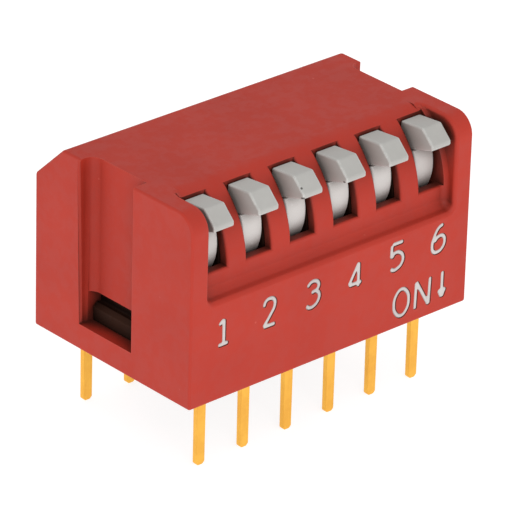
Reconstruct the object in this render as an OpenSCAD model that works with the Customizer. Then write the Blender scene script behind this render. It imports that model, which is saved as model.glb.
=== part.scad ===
// Six-way piano DIP switch: a red cover snapped over a black base, twelve flat pins in two
// rows, and six white levers that each carry a sprung contact and tilt down to switch on.
//
// Frame: millimetres. X runs along the row with lever 1 at -X, the levers face -Y, and Z is up.
// The origin is the middle of the seating plane, which is the cover's lower rim.

/* [Cover] */
// Height of the cover above the seating plane
body_height = 9.2; // [8.9:0.1:12]
// Distance that the front and back faces stand beyond the rows of pins
row_margin = 1.39; // [1.3:0.01:2.5]
// Thickness of the cover's two end walls, which with the row gives its length
end_wall = 1.2; // [1.1:0.05:1.6]
// Thickness of the cover's back wall
back_wall = 1.05; // [0.6:0.05:1.3]
// Thickness of the cover's roof
roof = 0.9; // [0.6:0.05:1.1]
// How far the back chamfer runs forward over the roof
chamfer_run = 1.85; // [0.5:0.05:2.4]
// How far the back chamfer drops down the back wall
chamfer_drop = 1.75; // [0.5:0.05:2.4]
// Radius of the front corner of each end wall
front_round = 1.0; // [0.3:0.1:1.5]

/* [Front recess] */
// Depth of the recess behind the cover's front face
recess_depth = 0.6; // [0.4:0.05:0.8]
// Thickness of each end wall beside the recess
recess_side = 1.0; // [0.8:0.05:1.1]
// Radius of the curved upper part of the recess
recess_radius = 4.05; // [3.95:0.05:4.3]
// Drop from the top to where the recess turns from curved to upright
recess_bend_drop = 3.45; // [3.4:0.05:3.6]
// Drop from the top to the lip of the ledge at the foot of the recess
ledge_drop = 4.45; // [4.0:0.05:5.2]
// How far the ledge rises from its lip to the recess
ledge_rise = 0.2; // [0.0:0.05:0.4]
// Wall left behind the recess
recess_wall = 0.45; // [0.3:0.05:0.5]

/* [Lever slots] */
// Drop from the top to the floor of each slot
slot_floor_drop = 3.3; // [3.1:0.05:3.35]

/* [End grooves] */
// Depth of the groove in each end of the cover
groove_depth = 0.75; // [0.4:0.05:0.8]
// Width of the groove
groove_width = 3.5; // [2.5:0.1:4.0]
// Distance of the groove's middle behind the middle of the cover
groove_offset = 0.4; // [0:0.1:0.8]
// Height of the sill below the groove and its window
sill_z = 1.25; // [0.8:0.05:1.4]
// Height of the snap window above its sill
window_height = 1.47; // [1.1:0.05:2.0]
// Height of the base's snap lug
lug_height = 0.85; // [0.5:0.05:1.0]

/* [Row and pins] */
// Number of switches in the row, fixed by the list of sub-parts
positions = 6; // [6]
// Distance from one switch to the next
pitch = 2.54; // [2.4:0.01:3.1]
// Distance between the two rows of pins
row_spacing = 7.62; // [7.4:0.01:9.2]
// Width of a pin along the row
pin_width = 0.5; // [0.4:0.02:0.6]
// Thickness of the terminal sheet
sheet = 0.25; // [0.2:0.01:0.3]
// Length of a pin below the seating plane
pin_length = 3.8; // [2.5:0.1:5]
// Size of the chamfer on a pin's tip
tip_chamfer = 0.12; // [0.05:0.01:0.2]

/* [Levers] */
// Width of a lever
lever_width = 1.15; // [1.0:0.01:1.4]
// Distance of the pivot behind the recess's upright face
pivot_setback = 2.75; // [2.7:0.01:2.8]
// Drop from the top to the pivot
pivot_drop = 2.4; // [2.35:0.05:2.5]
// Radius of the pivot trunnions
trunnion_r = 0.3; // [0.25:0.01:0.32]
// Length of each trunnion
trunnion_length = 0.33; // [0.25:0.01:0.34]
// Angle that a lever turns through from off to on
lever_travel = 36; // [24:1:38]
// Forward lean of the contact arm when the lever is off
arm_lean = 25; // [20:1:26]
// Width of the contact arm
arm_width = 0.8; // [0.6:0.05:0.9]
// Length of the contact arm from the pivot to its foot
arm_length = 3.55; // [3.4:0.05:3.6]

/* [Contacts] */
// Thickness of the moving contact's spring sheet
spring_sheet = 0.12; // [0.08:0.01:0.15]
// Width of the moving contact along the row
spring_width = 0.9; // [0.7:0.02:1.0]
// Mean radius of the moving contact's curl
curl_r = 0.36; // [0.3:0.01:0.38]
// Depth that the moving contact's tab goes up into the arm
tab_depth = 0.5; // [0.3:0.05:0.7]
// Width of each fixed contact track
track_width = 0.4; // [0.3:0.02:0.42]
// Gap between the two tracks of one switch
track_gap = 0.2; // [0.16:0.02:0.3]
// Free height between a moving contact's lowest point and the tracks
contact_gap = 0.05; // [0.03:0.01:0.1]

/* [Fits] */
// Clearance between the base and the cover
base_fit = 0.04; // [0.02:0.01:0.06]
// Clearance on each side of a lever between its partitions
lever_fit = 0.05; // [0.03:0.01:0.08]
// Clearance on each side of a lever's head in its slot
slot_fit = 0.135; // [0.08:0.005:0.2]
// Clearance behind the head at the end of its slot
head_fit = 0.06; // [0.03:0.01:0.1]
// Clearance between a lever's curved front and the wall below its slot
drum_fit = 0.05; // [0.03:0.01:0.08]
// Radial clearance of a trunnion in its bearing
bearing_fit = 0.02; // [0.01:0.005:0.03]
// Clearance above and behind a lever under the roof
roof_fit = 0.08; // [0.05:0.01:0.1]
// Clearance between an arm's foot and the curl of its moving contact
foot_fit = 0.01; // [0.01:0.005:0.03]

/* [Hidden] */

eps = 0.5;                                       // overshoot of every cutting shape
curve_fn = 96;

// Cover: its length holds the row, and its depth spans the rows of pins
end_gap = 0.025;                                 // from the last lever's clearance to the end wall
cavity_end_x = lever_x(positions) + lever_width / 2 + lever_fit + end_gap;
body_length = 2 * (cavity_end_x + end_wall);
body_width = row_spacing + 2 * row_margin;
front_y = -body_width / 2;
back_y = body_width / 2;
recess_y = front_y + recess_depth;
cavity_front_y = recess_y + recess_wall;
cavity_back_y = back_y - back_wall;
ceiling_z = body_height - roof;
recess_centre_y = recess_y + recess_radius;
recess_end_x = body_length / 2 - recess_side;
recess_bend_z = body_height - recess_bend_drop;
ledge_z = body_height - ledge_drop;
slot_width = lever_width + 2 * slot_fit;
slot_floor_z = body_height - slot_floor_drop;

// Levers: the slot ends just behind the head's back edge
pivot_y = recess_y + pivot_setback;
pivot_z = body_height - pivot_drop;
drum_r = pivot_setback - recess_wall - drum_fit;
head_back = 1.21;                                // head's back edge, ahead of the pivot
head_front = 2.60;                               // front end of the head's top
head_tip = 3.27;                                 // foremost point of the head
head_root = 2.10;                                // where the underside meets the drum
head_back_rise = 2.05;                           // heights of the same corners above the pivot
head_front_rise = 2.18;
head_tip_rise = 1.53;
head_lip_rise = 1.30;
head_root_rise = 0.95;
hub_r = 0.85;
slot_back_y = pivot_y - head_back + head_fit;
lever_top = ceiling_z - roof_fit - pivot_z;      // rise of the lever's shoulder under the roof
drum_lower = -38;                                // lower end of the curved front, in degrees
drum_upper = 24;                                 // where the curved front meets the head

// Moving contact, as distances from the pivot along the arm
curl_centre = arm_length + foot_fit + spring_sheet / 2 + curl_r;
track_z = pivot_z - curl_centre - curl_r - spring_sheet / 2 - contact_gap;
contact_rest_y = pivot_y - curl_centre * sin(arm_lean);
contact_on_y = pivot_y + curl_centre * sin(lever_travel - arm_lean);

// Base
base_under_z = 0.3;                              // base floor stands back from the seating plane
partition = pitch - lever_width - 2 * lever_fit;
bearing_r = trunnion_r + bearing_fit;
key_gap = 0.05;                                  // each side of a key in a bearing
bearing_wall = 0.16;                             // each side of a bearing in an end post
post_half = bearing_r + bearing_wall;
channel_depth = 0.3;
post_gap = 0.025;                                // between an end post and its channel's floor
post_end_x = cavity_end_x + channel_depth - post_gap;
low_wall_rise = 1.2;                             // partitions behind the levers, above the tracks
tall_wall_run = 0.3;                             // tall part of a partition, behind the hub
lug_side = 0.12;                                 // gap beside the lug in its window
lug_proud = 0.05;                                // lug's stand above the groove's floor

// Terminals
pin_y = row_spacing / 2;
shoulder_width = 2 * track_width + track_gap;
shoulder_low_z = 0.9;
track_overlap = 0.4;                             // how far a track runs past its contact line

function lever_x(i) = (i - (positions + 1) / 2) * pitch;

// Turns a drawing of (Y, Z) into a solid of the given length along X, centred on X = 0
module along_x(length) {
    rotate([90, 0, 90]) linear_extrude(length, center = true) children();
}

// Box from one corner to the other
module span(low, high) {
    translate(low) cube(high - low);
}

// ---------------------------------------------------------------- cover

module cover_outline() {
    difference() {
        polygon([
            [front_y, 0],
            [back_y, 0],
            [back_y, body_height - chamfer_drop],
            [back_y - chamfer_run, body_height],
            [front_y, body_height]
        ]);
        difference() {
            translate([front_y - eps, body_height - front_round])
                square(front_round + eps);
            translate([front_y + front_round, body_height - front_round])
                circle(front_round, $fn = curve_fn);
        }
    }
}

// Inside of the cover, drawn smaller by inset for the base that fills it
module cavity_outline(inset, low_z) {
    difference() {
        polygon([
            [cavity_front_y + inset, low_z],
            [cavity_back_y - inset, low_z],
            [cavity_back_y - inset, ceiling_z - chamfer_drop - inset],
            [cavity_back_y - chamfer_run - inset, ceiling_z - inset],
            [cavity_front_y + inset, ceiling_z - inset]
        ]);
        difference() {
            translate([cavity_front_y - eps, recess_bend_z])
                square([recess_centre_y - cavity_front_y + eps, body_height]);
            translate([recess_centre_y, recess_bend_z])
                circle(recess_radius - recess_wall - inset, $fn = curve_fn);
        }
    }
}

// Everything in front of the recess's surface, above its ledge
module recess_outline() {
    polygon([
        [front_y - eps, ledge_z],
        [front_y, ledge_z],
        [recess_y, ledge_z + ledge_rise],
        [recess_y, recess_bend_z],
        [front_y - eps, recess_bend_z]
    ]);
    difference() {
        translate([front_y - eps, recess_bend_z])
            square([recess_centre_y - front_y + eps, body_height]);
        translate([recess_centre_y, recess_bend_z])
            circle(recess_radius, $fn = curve_fn);
    }
}

module end_groove() {
    groove_front_y = groove_offset - groove_width / 2;
    groove_back_y = groove_offset + groove_width / 2;
    floor_x = body_length / 2 - groove_depth;
    span([floor_x, groove_front_y, sill_z],
         [body_length / 2 + eps, groove_back_y, body_height + eps]);
    span([cavity_end_x - eps, groove_front_y, sill_z],
         [floor_x + eps, groove_back_y, sill_z + window_height]);
}

// Upright channel inside an end wall, for the base's end post
module post_channel() {
    span([cavity_end_x - eps, pivot_y - post_half - base_fit, -eps],
         [cavity_end_x + channel_depth, pivot_y + post_half + base_fit, ceiling_z]);
}

// Keys under the roof that close the bearings from above
module bearing_key(x_low, x_high) {
    key_half = bearing_r - key_gap;
    span([x_low, pivot_y - key_half, pivot_z + trunnion_r + bearing_fit],
         [x_high, pivot_y + key_half, ceiling_z + roof / 2]);
}

module cover() {
    color("#bd4a3f") {
        difference() {
            along_x(body_length) cover_outline();
            along_x(2 * cavity_end_x) cavity_outline(0, -eps);
            along_x(2 * recess_end_x) recess_outline();
            for (i = [1:positions])
                span([lever_x(i) - slot_width / 2, front_y - eps, slot_floor_z],
                     [lever_x(i) + slot_width / 2, slot_back_y, body_height + eps]);
            for (side = [0, 1]) mirror([side, 0, 0]) {
                end_groove();
                post_channel();
            }
        }
        for (i = [1:positions - 1])
            bearing_key(lever_x(i) + (pitch - partition) / 2,
                        lever_x(i) + (pitch + partition) / 2);
        for (side = [0, 1]) mirror([side, 0, 0])
            bearing_key(lever_x(positions) + lever_width / 2 + lever_fit,
                        cavity_end_x + channel_depth + roof / 4);
    }
}

// ---------------------------------------------------------------- base

module wall_outline() {
    intersection() {
        cavity_outline(base_fit, track_z - eps);
        union() {
            translate([cavity_front_y, track_z - eps])
                square([pivot_y + hub_r + tall_wall_run - cavity_front_y, body_height]);
            translate([cavity_front_y, track_z - eps])
                square([cavity_back_y - cavity_front_y, low_wall_rise + eps]);
        }
    }
}

// Bearing cut: a round seat for the trunnions, open at the top
module bearing_cut() {
    rotate([0, 90, 0])
        cylinder(r = bearing_r, h = body_length + eps, center = true, $fn = curve_fn);
    translate([-body_length / 2 - eps, -bearing_r, 0])
        cube([body_length + 2 * eps, 2 * bearing_r, body_height]);
}

// Post at each end of the row, standing in the cover's channel, with its root in the floor
module end_post() {
    span([lever_x(positions) + lever_width / 2 + lever_fit, pivot_y - post_half, base_under_z],
         [post_end_x, pivot_y + post_half, ceiling_z - base_fit]);
    span([lever_x(positions), pivot_y - post_half, base_under_z],
         [post_end_x, pivot_y + post_half, track_z]);
}

module snap_lug() {
    face_x = body_length / 2 - groove_depth + lug_proud;
    lug_low_z = sill_z + base_fit / 2;
    lead = 0.2;
    translate([0, groove_offset, 0])
        rotate([90, 0, 0])
        linear_extrude(groove_width - 2 * lug_side, center = true)
        polygon([
            [cavity_end_x - 1, lug_low_z],
            [face_x, lug_low_z],
            [face_x, lug_low_z + lug_height - lead],
            [face_x - lead, lug_low_z + lug_height],
            [cavity_end_x - 1, lug_low_z + lug_height]
        ]);
}

module base() {
    color("#2b2320") difference() {
        union() {
            span([-cavity_end_x + base_fit, cavity_front_y + base_fit, base_under_z],
                 [cavity_end_x - base_fit, cavity_back_y - base_fit, track_z]);
            for (i = [1:positions - 1])
                translate([lever_x(i) + pitch / 2, 0, 0]) along_x(partition) wall_outline();
            for (side = [0, 1]) mirror([side, 0, 0]) {
                end_post();
                snap_lug();
            }
        }
        translate([0, pivot_y, pivot_z]) bearing_cut();
        for (i = [1:positions]) {
            front_terminal_shape(i);
            back_terminal_shape(i);
        }
    }
}

// ---------------------------------------------------------------- terminals

// Side view of a terminal: a pin that turns inward at the floor of the base
module terminal_outline(track_end) {
    difference() {
        union() {
            translate([-pin_y - sheet / 2, -pin_length]) square([sheet, pin_length + track_z]);
            translate([-pin_y, track_z - sheet]) square([track_end + pin_y, sheet]);
        }
        difference() {
            translate([-pin_y - sheet / 2 - eps, track_z - sheet]) square(sheet + eps);
            translate([-pin_y + sheet / 2, track_z - sheet]) circle(sheet, $fn = curve_fn);
        }
    }
}

// Front view of a pin, with its tip chamfered
module pin_outline() {
    half = pin_width / 2;
    polygon([
        [-half, shoulder_low_z + eps],
        [-half, tip_chamfer - pin_length],
        [tip_chamfer - half, -pin_length],
        [half - tip_chamfer, -pin_length],
        [half, tip_chamfer - pin_length],
        [half, shoulder_low_z + eps]
    ]);
}

// One terminal about X = 0, at -Y: pin, shoulder and a track along its -X side
module terminal_blank(track_end) {
    shoulder_y = -pin_y + 2 * sheet;
    intersection() {
        along_x(shoulder_width) terminal_outline(track_end);
        union() {
            translate([0, -pin_y, 0]) rotate([90, 0, 0])
                linear_extrude(2 * sheet, center = true) pin_outline();
            span([-shoulder_width / 2, -pin_y - sheet, shoulder_low_z],
                 [shoulder_width / 2, shoulder_y, track_z + eps]);
            span([-shoulder_width / 2, -pin_y, track_z - 2 * sheet],
                 [-track_gap / 2, track_end, track_z + eps]);
        }
    }
}

module front_terminal_shape(i) {
    translate([lever_x(i), 0, 0]) terminal_blank(contact_on_y + track_overlap);
}

module back_terminal_shape(i) {
    translate([lever_x(i), 0, 0]) rotate([0, 0, 180])
        terminal_blank(-contact_on_y + track_overlap);
}

module front_terminal(i) {
    color("#e9ab48") front_terminal_shape(i);
}

module back_terminal(i) {
    color("#e9ab48") back_terminal_shape(i);
}

// ---------------------------------------------------------------- levers

// Side view of a lever about its pivot, in the off position
module lever_outline() {
    reach = 2 * drum_r;
    intersection() {
        circle(drum_r, $fn = curve_fn);
        polygon([
            [0, 0],
            [-reach * cos(drum_upper), reach * sin(drum_upper)],
            [-reach, 0],
            [-reach * cos(drum_lower), reach * sin(drum_lower)]
        ]);
    }
    circle(hub_r, $fn = curve_fn);
    polygon([
        [0, 0],
        [-head_root, head_root_rise],
        [-head_tip, head_lip_rise],
        [-head_tip, head_tip_rise],
        [-head_front, head_front_rise],
        [-head_back, head_back_rise],
        [-head_back, lever_top],
        [0, lever_top]
    ]);
    rotate(-arm_lean)
        translate([-arm_width / 2, -arm_length]) square([arm_width, arm_length]);
}

module lever(i) {
    slit = spring_sheet;
    color("#cfccc6") translate([lever_x(i), pivot_y, pivot_z]) {
        difference() {
            along_x(lever_width) lever_outline();
            rotate([-arm_lean, 0, 0])
                span([-spring_width / 2, -slit / 2, -arm_length - eps],
                     [spring_width / 2, slit / 2, tab_depth - arm_length]);
        }
        rotate([0, 90, 0])
            cylinder(r = trunnion_r, h = lever_width + 2 * trunnion_length,
                     center = true, $fn = curve_fn);
    }
}

// ---------------------------------------------------------------- moving contacts

// Curled spring about the pivot: a tab up the arm and a split curl below its foot
module moving_contact(i) {
    finger_split = 0.16;
    curl_sweep = 290;
    color("#d8b469") translate([lever_x(i), pivot_y, pivot_z]) rotate([-arm_lean, 0, 0])
        difference() {
            union() {
                span([-spring_width / 2, -spring_sheet / 2, curl_r - curl_centre],
                     [spring_width / 2, spring_sheet / 2, tab_depth - arm_length]);
                translate([0, 0, -curl_centre]) rotate([90, 0, 90])
                    rotate([0, 0, 90 - curl_sweep])
                    rotate_extrude(angle = curl_sweep, $fn = curve_fn)
                    translate([curl_r - spring_sheet / 2, -spring_width / 2])
                    square([spring_sheet, spring_width]);
            }
            span([-finger_split / 2, -1, -curl_centre - 1],
                 [finger_split / 2, 1, -curl_centre + curl_r / 2]);
        }
}

cover();
base();
for (i = [1:positions]) {
    lever(i);
    moving_contact(i);
    front_terminal(i);
    back_terminal(i);
}
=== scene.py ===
"""Looks of a six-way piano DIP switch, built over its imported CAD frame.

Pieces are modelled in millimetres, with X along the row, the levers facing -Y and Z up. Each
finished mesh is then scaled to metres, so that its place stays in its vertices.
"""

import logging
import math
from dataclasses import dataclass, field, replace
from enum import Enum
from typing import Callable, Sequence

import bmesh
import bpy
from mathutils import Matrix, Vector


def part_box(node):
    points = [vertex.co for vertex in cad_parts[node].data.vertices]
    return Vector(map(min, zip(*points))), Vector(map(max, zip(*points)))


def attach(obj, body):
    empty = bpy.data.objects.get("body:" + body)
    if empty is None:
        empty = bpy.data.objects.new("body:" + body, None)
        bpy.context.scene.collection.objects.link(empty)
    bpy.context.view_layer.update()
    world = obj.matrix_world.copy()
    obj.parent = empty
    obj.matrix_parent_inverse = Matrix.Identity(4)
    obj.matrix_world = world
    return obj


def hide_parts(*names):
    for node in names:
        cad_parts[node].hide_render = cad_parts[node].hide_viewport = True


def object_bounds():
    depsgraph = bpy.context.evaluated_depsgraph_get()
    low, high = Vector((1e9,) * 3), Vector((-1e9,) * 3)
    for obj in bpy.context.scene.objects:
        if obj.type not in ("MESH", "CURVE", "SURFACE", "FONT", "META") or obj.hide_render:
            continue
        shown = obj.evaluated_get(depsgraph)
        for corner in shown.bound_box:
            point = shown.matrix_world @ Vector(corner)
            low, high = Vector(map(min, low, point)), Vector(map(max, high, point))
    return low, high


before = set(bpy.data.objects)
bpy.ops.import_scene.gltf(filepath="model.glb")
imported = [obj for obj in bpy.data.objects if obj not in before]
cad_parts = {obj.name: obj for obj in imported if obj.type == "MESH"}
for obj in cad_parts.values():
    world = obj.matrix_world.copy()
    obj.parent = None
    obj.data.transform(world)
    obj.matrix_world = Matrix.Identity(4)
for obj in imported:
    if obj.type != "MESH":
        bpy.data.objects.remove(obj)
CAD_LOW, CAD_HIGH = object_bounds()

MM = 0.001
HOUSING = "housing"
NEAR = 0.004  # how far from a plane, in millimetres, an edge may lie and still count as on it
WELD = 0.001  # distance in millimetres under which the points of a cut mesh are merged
PAST = 1.0  # how far, in millimetres, a cutting tool reaches past the surface that it cuts
SHARP = 40.0  # smallest turn, in degrees, of an edge that counts as sharp
SMALL_SIDES = 48  # flat sides of a narrow rod

log = logging.getLogger("dip_switch")

EdgeTest = Callable[[bmesh.types.BMEdge], bool]


class Slot(Enum):
    """Material slots of the record, one for each finish."""

    RED = "red_moulding"
    BLACK = "black_moulding"
    WHITE = "white_moulding"
    GOLD = "gold_plate"
    SPRING = "contact_spring"
    INK = "white_ink"


class Join(Enum):
    """Ways of combining two closed meshes."""

    CUT = "DIFFERENCE"
    FUSE = "UNION"


# ------------------------------------------------------------------ workshop


def only(obj: bpy.types.Object) -> None:
    """Makes one object the only one selected, and active.

    Args:
        obj: The object.
    """
    bpy.ops.object.select_all(action="DESELECT")
    obj.select_set(True)
    bpy.context.view_layer.objects.active = obj


def settle(obj: bpy.types.Object, name: str) -> bpy.types.Object:
    """Names an object and moves its place, turn and scale into its mesh.

    Args:
        obj: The object that a primitive operator has just added.
        name: Its new name.

    Returns:
        The same object.
    """
    obj.name = name
    obj.data.name = name
    only(obj)
    bpy.ops.object.transform_apply(location=True, rotation=True, scale=True)
    return obj


def block(name: str, low: Sequence[float], high: Sequence[float]) -> bpy.types.Object:
    """Adds a cube stretched between two corners.

    Args:
        name: Name of the new object.
        low: Lowest corner in millimetres.
        high: Highest corner in millimetres.

    Returns:
        The new object, with its place in its mesh.
    """
    low, high = Vector(low), Vector(high)
    bpy.ops.object.select_all(action="DESELECT")
    bpy.ops.mesh.primitive_cube_add(size=1, location=(low + high) / 2, scale=high - low)
    return settle(bpy.context.active_object, name)


def rod(name: str, centre: tuple[float, float], radius: float, half: float,
        sides: int = 128) -> bpy.types.Object:
    """Adds a cylinder lying along X, centred on X = 0.

    Args:
        name: Name of the new object.
        centre: Its (Y, Z) in millimetres.
        radius: Its radius in millimetres.
        half: Half of its length in millimetres.
        sides: Number of its flat sides.

    Returns:
        The new object, with its place in its mesh.
    """
    bpy.ops.object.select_all(action="DESELECT")
    bpy.ops.mesh.primitive_cylinder_add(
        vertices=sides, radius=radius, depth=2 * half,
        location=(0, *centre), rotation=(0, math.pi / 2, 0),
    )
    return settle(bpy.context.active_object, name)


def trim(obj: bpy.types.Object, point: Sequence[float], outward: Sequence[float]) -> None:
    """Cuts a closed mesh with a plane, drops the outer part and closes the cut.

    Args:
        obj: The mesh object to cut.
        point: A point of the plane.
        outward: The plane's normal, towards the part that goes.
    """
    only(obj)
    bpy.ops.object.mode_set(mode="EDIT")
    bpy.ops.mesh.select_all(action="SELECT")
    bpy.ops.mesh.bisect(
        plane_co=point, plane_no=Vector(outward).normalized(), use_fill=True, clear_outer=True
    )
    bpy.ops.object.mode_set(mode="OBJECT")


def prism(name: str, outline: Sequence[tuple[float, float]], half: float) -> bpy.types.Object:
    """Carves a block along X down to a convex outline.

    Args:
        name: Name of the new object.
        outline: Corners as (Y, Z), clockwise with Y to the right and Z up.
        half: Half of the length along X.

    Returns:
        The carved object.
    """
    ys, zs = [y for y, _ in outline], [z for _, z in outline]
    obj = block(name, (-half, min(ys), min(zs)), (half, max(ys), max(zs)))
    for (y0, z0), (y1, z1) in zip(outline, [*outline[1:], outline[0]]):
        slanted = abs(y1 - y0) > WELD and abs(z1 - z0) > WELD
        if slanted:
            trim(obj, (0, y0, z0), (0, z0 - z1, y1 - y0))
    return obj


def merge(obj: bpy.types.Object, reach: float = WELD) -> None:
    """Merges close points, drops empty faces and closes holes of up to four sides.

    Args:
        obj: The mesh object.
        reach: Distance in millimetres under which points are merged.
    """
    only(obj)
    bpy.ops.object.mode_set(mode="EDIT")
    bpy.ops.mesh.select_all(action="SELECT")
    bpy.ops.mesh.remove_doubles(threshold=reach)
    bpy.ops.mesh.dissolve_degenerate(threshold=reach)
    bpy.ops.mesh.fill_holes(sides=4)
    bpy.ops.object.mode_set(mode="OBJECT")


def combine(obj: bpy.types.Object, tool: bpy.types.Object, how: Join,
            reach: float = WELD) -> None:
    """Cuts a tool out of an object or fuses it on, and removes the tool.

    Args:
        obj: The mesh object that changes.
        tool: The mesh object that is used up.
        how: Whether the tool is cut out or fused on.
        reach: Distance in millimetres under which points are merged afterwards.
    """
    only(obj)
    bpy.ops.object.modifier_add(type="BOOLEAN")
    modifier = obj.modifiers[-1]
    modifier.operation, modifier.solver, modifier.object = how.value, "EXACT", tool
    bpy.ops.object.modifier_apply(modifier=modifier.name)
    bpy.data.objects.remove(tool)
    merge(obj, reach)


def middle(edge: bmesh.types.BMEdge) -> Vector:
    """Middle point of an edge."""
    return (edge.verts[0].co + edge.verts[1].co) / 2


def turn(edge: bmesh.types.BMEdge) -> float:
    """Angle in degrees that the surface turns through at an edge."""
    return math.degrees(edge.calc_face_angle(0.0))


def bevel(obj: bpy.types.Object, wanted: EdgeTest, radius: float, segments: int = 4) -> None:
    """Rounds the edges of a mesh that a test accepts.

    Args:
        obj: The mesh object.
        wanted: Test of an edge.
        radius: Width of the rounding along the faces, in millimetres.
        segments: Number of strips in the rounding.
    """
    only(obj)
    bpy.ops.object.mode_set(mode="EDIT")
    bpy.ops.mesh.select_mode(type="EDGE")
    bpy.ops.mesh.select_all(action="DESELECT")
    mesh = bmesh.from_edit_mesh(obj.data)
    mesh.normal_update()
    chosen = [edge for edge in mesh.edges if wanted(edge)]
    for edge in chosen:
        edge.select_set(True)
    bmesh.update_edit_mesh(obj.data)
    if chosen:
        bpy.ops.mesh.bevel(
            offset=radius, offset_type="OFFSET", segments=segments, profile=0.5,
            affect="EDGES", clamp_overlap=False,
        )
    else:
        log.warning("%s: no edge to round at %.2f mm", obj.name, radius)
    bpy.ops.object.mode_set(mode="OBJECT")


def complete(obj: bpy.types.Object, smooth: float = 38.0,
             weighted: bool = True) -> bpy.types.Object:
    """Turns a mesh's faces outwards, shades it and scales it from millimetres to metres.

    Args:
        obj: The mesh object.
        smooth: Largest turn in degrees that is shaded as round.
        weighted: Whether large faces keep flat shading next to their rounded edges.

    Returns:
        The same object, in metres.
    """
    only(obj)
    bpy.ops.object.mode_set(mode="EDIT")
    bpy.ops.mesh.select_all(action="SELECT")
    bpy.ops.mesh.normals_make_consistent(inside=False)
    bpy.ops.object.mode_set(mode="OBJECT")
    bpy.ops.object.shade_smooth_by_angle(angle=math.radians(smooth))
    if weighted:
        bpy.ops.object.modifier_add(type="WEIGHTED_NORMAL")
        obj.modifiers[-1].keep_sharp = True
        obj.modifiers[-1].weight = 80
        bpy.ops.object.modifier_apply(modifier=obj.modifiers[-1].name)
    obj.scale = (MM, MM, MM)
    bpy.ops.object.transform_apply(location=True, rotation=True, scale=True)
    return obj


def adopt(node: str, name: str) -> bpy.types.Object:
    """Copies a CAD node's mesh, in millimetres, with its loose triangles merged to flat faces.

    Args:
        node: Name of the CAD node.
        name: Name of the new object.

    Returns:
        The new object.
    """
    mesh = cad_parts[node].data.copy()
    mesh.materials.clear()
    obj = bpy.data.objects.new(name, mesh)
    bpy.context.scene.collection.objects.link(obj)
    obj.scale = (1 / MM,) * 3
    settle(obj, name)
    bpy.ops.object.mode_set(mode="EDIT")
    bpy.ops.mesh.select_all(action="SELECT")
    bpy.ops.mesh.remove_doubles(threshold=0.002)
    bpy.ops.mesh.dissolve_limited(angle_limit=math.radians(1.0))
    bpy.ops.object.mode_set(mode="OBJECT")
    return obj


def twin(obj: bpy.types.Object, name: str, shift: float) -> bpy.types.Object:
    """Copies an object in metres along X, with a mesh of its own.

    Args:
        obj: The object to copy.
        name: Name of the copy.
        shift: Distance along X in millimetres.

    Returns:
        The copy, with its place in its mesh.
    """
    only(obj)
    bpy.ops.object.duplicate(linked=False)
    copy = bpy.context.active_object
    copy.location = (shift * MM, 0, 0)
    return settle(copy, name)


def install(obj: bpy.types.Object, body: str, slot: Slot, material: bpy.types.Material,
            *nodes: str) -> None:
    """Gives a finished piece its material, its body and the CAD nodes that it stands for.

    Args:
        obj: The finished piece.
        body: CAD body that it moves with.
        slot: Material slot of the record; not used.
        material: Its material.
        nodes: CAD nodes that it replaces.
    """
    obj.data.materials.clear()
    obj.data.materials.append(material)
    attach(obj, body)
    if nodes:
        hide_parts(*nodes)
    log.info("%s: %d faces on %s", obj.name, len(obj.data.polygons), body)


# ------------------------------------------------------------------ finishes


class Bench:
    """A node tree under construction."""

    def __init__(self, tree: bpy.types.NodeTree) -> None:
        """Takes a tree and clears it."""
        self.tree = tree
        tree.nodes.clear()

    def add(self, kind: str, settings: dict | None = None, **sockets: object) -> bpy.types.Node:
        """Adds a node, sets its options and feeds its sockets.

        Args:
            kind: Blender's name of the node's type.
            settings: Options of the node by name.
            sockets: Values or sockets by input name, with _ for a space, or iN for input N.

        Returns:
            The new node.
        """
        node = self.tree.nodes.new(kind)
        for option, value in (settings or {}).items():
            setattr(node, option, value)
        for key, value in sockets.items():
            is_index = key[0] == "i" and key[1:].isdigit()
            target = node.inputs[int(key[1:]) if is_index else key.replace("_", " ")]
            if isinstance(value, bpy.types.NodeSocket):
                self.tree.links.new(value, target)
            else:
                target.default_value = value
        return node

    def noise(self, vector: bpy.types.NodeSocket, size: float, detail: float = 2.0,
              rough: float = 0.5) -> bpy.types.NodeSocket:
        """Noise whose features are about size millimetres across."""
        node = self.add("ShaderNodeTexNoise", Vector=vector, Scale=1 / (size * MM),
                        Detail=detail, Roughness=rough)
        return node.outputs["Factor" if "Factor" in node.outputs else "Fac"]

    def span(self, value: bpy.types.NodeSocket, low: float, high: float, to_low: float,
             to_high: float) -> bpy.types.NodeSocket:
        """Maps low..high smoothly to to_low..to_high."""
        node = self.add("ShaderNodeMapRange", {"interpolation_type": "SMOOTHSTEP"}, i0=value,
                        i1=low, i2=high, i3=to_low, i4=to_high)
        return node.outputs[0]

    def blend(self, share: object, first: object, second: object) -> bpy.types.NodeSocket:
        """Mixes two colours by a share."""
        node = self.add("ShaderNodeMix", {"data_type": "RGBA"}, i0=share, i6=first, i7=second)
        return node.outputs[2]

    def maths(self, operation: str, first: object, second: object = 0.0) -> bpy.types.NodeSocket:
        """One arithmetic step on one or two values."""
        return self.add("ShaderNodeMath", {"operation": operation}, i0=first, i1=second).outputs[0]

    def tone(self, drift: bpy.types.Node, broad: float) -> bpy.types.NodeSocket:
        """Adds up the two tones of a drift node, the broad one by its share."""
        slow = self.maths("MULTIPLY", drift.outputs["Broad"], broad)
        return self.maths("ADD", slow, self.maths("MULTIPLY", drift.outputs["Mottle"], 1 - broad))


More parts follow.
